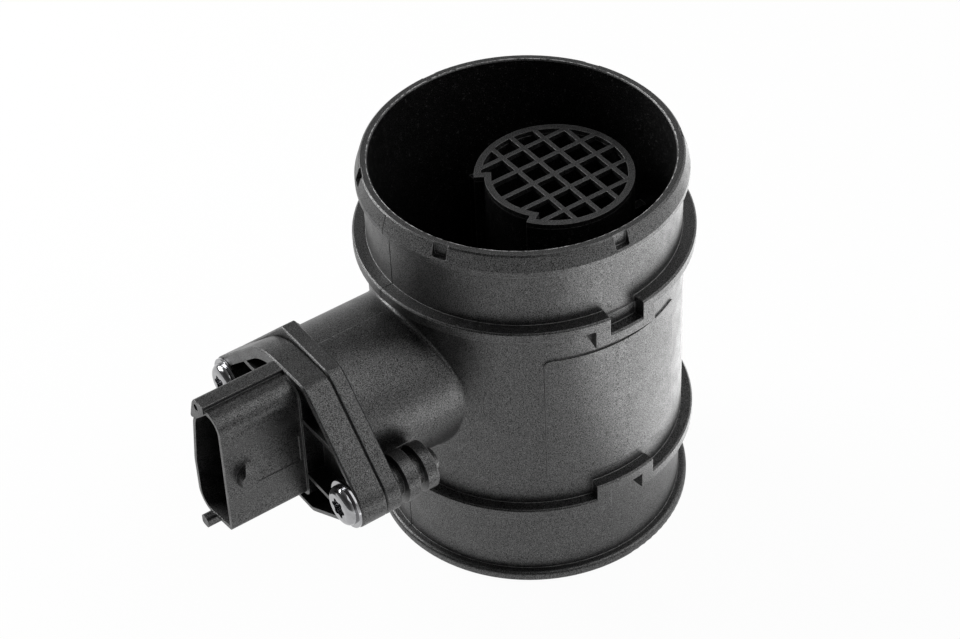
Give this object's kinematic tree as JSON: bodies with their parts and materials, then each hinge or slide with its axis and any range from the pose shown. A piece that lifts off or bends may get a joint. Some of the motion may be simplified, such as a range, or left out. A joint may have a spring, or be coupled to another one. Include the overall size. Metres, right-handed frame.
{
  "type": "mass airflow sensor",
  "caption": "Black moulded air tube with a side branch that holds a screwed-in hot-film airflow sensor with a shrouded electrical connector.",
  "frame": {"origin": "on the tube's axis, in the plane of its lower rim", "axes": "+Z along the flow tube towards its upper rim, -X along the side branch towards the connector"},
  "size_m": [0.141, 0.086, 0.1095],
  "materials": {
    "black_plastic": "fine spark-eroded grain",
    "screw_steel": "bright zinc plating",
    "sleeve_steel": "turned",
    "seal_rubber": "smooth",
    "plate_aluminium": "rolled",
    "board_ceramic": "fired ceramic",
    "component_black": "moulded epoxy",
    "capacitor_tan": "fired ceramic",
    "silicon": "polished",
    "terminal_brass": "tinned",
    "bond_aluminium": "drawn wire",
    "thermistor_glass": "dipped bead"
  },
  "bodies": {
    "root": {"flow_tube": "black_plastic", "inlet_grid": "black_plastic", "sensor_body": "black_plastic", "seal_ring": "seal_rubber", "electronics_cover": "black_plastic", "bypass_cover": "black_plastic", "flange_screw_front": "screw_steel", "flange_screw_rear": "screw_steel", "screw_sleeve_front": "sleeve_steel", "screw_sleeve_rear": "sleeve_steel", "base_plate": "plate_aluminium", "circuit_board": "board_ceramic", "evaluation_chip": "component_black", "capacitors": "capacitor_tan", "resistors": "component_black", "chip_carrier": "board_ceramic", "sensor_element": "silicon", "bond_wires": "bond_aluminium", "terminal_pin_1": "terminal_brass", "terminal_pin_2": "terminal_brass", "terminal_pin_3": "terminal_brass", "terminal_pin_4": "terminal_brass", "terminal_pin_5": "terminal_brass", "air_temperature_sensor": "thermistor_glass"}
  },
  "joints": []
}
